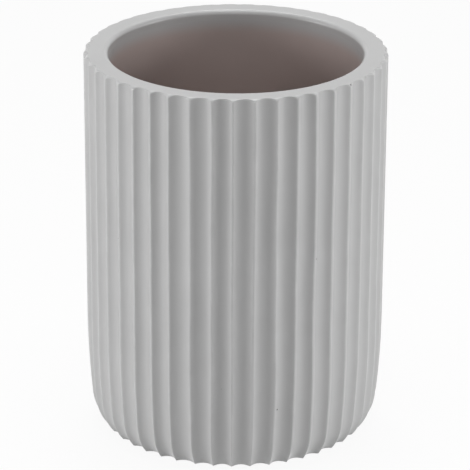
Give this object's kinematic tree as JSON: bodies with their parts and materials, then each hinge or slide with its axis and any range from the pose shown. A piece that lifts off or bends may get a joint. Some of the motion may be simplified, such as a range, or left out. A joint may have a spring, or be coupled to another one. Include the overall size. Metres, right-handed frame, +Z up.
{
  "type": "bathroom tumbler",
  "caption": "Straight round bathroom tumbler with hollow vertical flutes, a flat rim, a rounded heel, a smooth lined inside and a foam foot pad.",
  "frame": {"origin": "centre of the foot pad's underside, on the surface that the tumbler stands on", "axes": "+Z up the tumbler's axis towards the open rim; X and Y level, with a ridge on Y at the front (-Y) and a flute on Y at the back"},
  "size_m": [0.078, 0.0779, 0.1025],
  "materials": {
    "cast_resin": "matt, neutral light grey, cast",
    "liner_plastic": "satin, warm taupe, moulded smooth",
    "adhesive_film": "clear to cream film",
    "pad_foam": "matt, closed-cell foam, die-cut"
  },
  "bodies": {
    "root": {"fluted_body": "cast_resin", "inner_liner": "liner_plastic", "pad_adhesive": "adhesive_film", "base_pad": "pad_foam"}
  },
  "joints": []
}
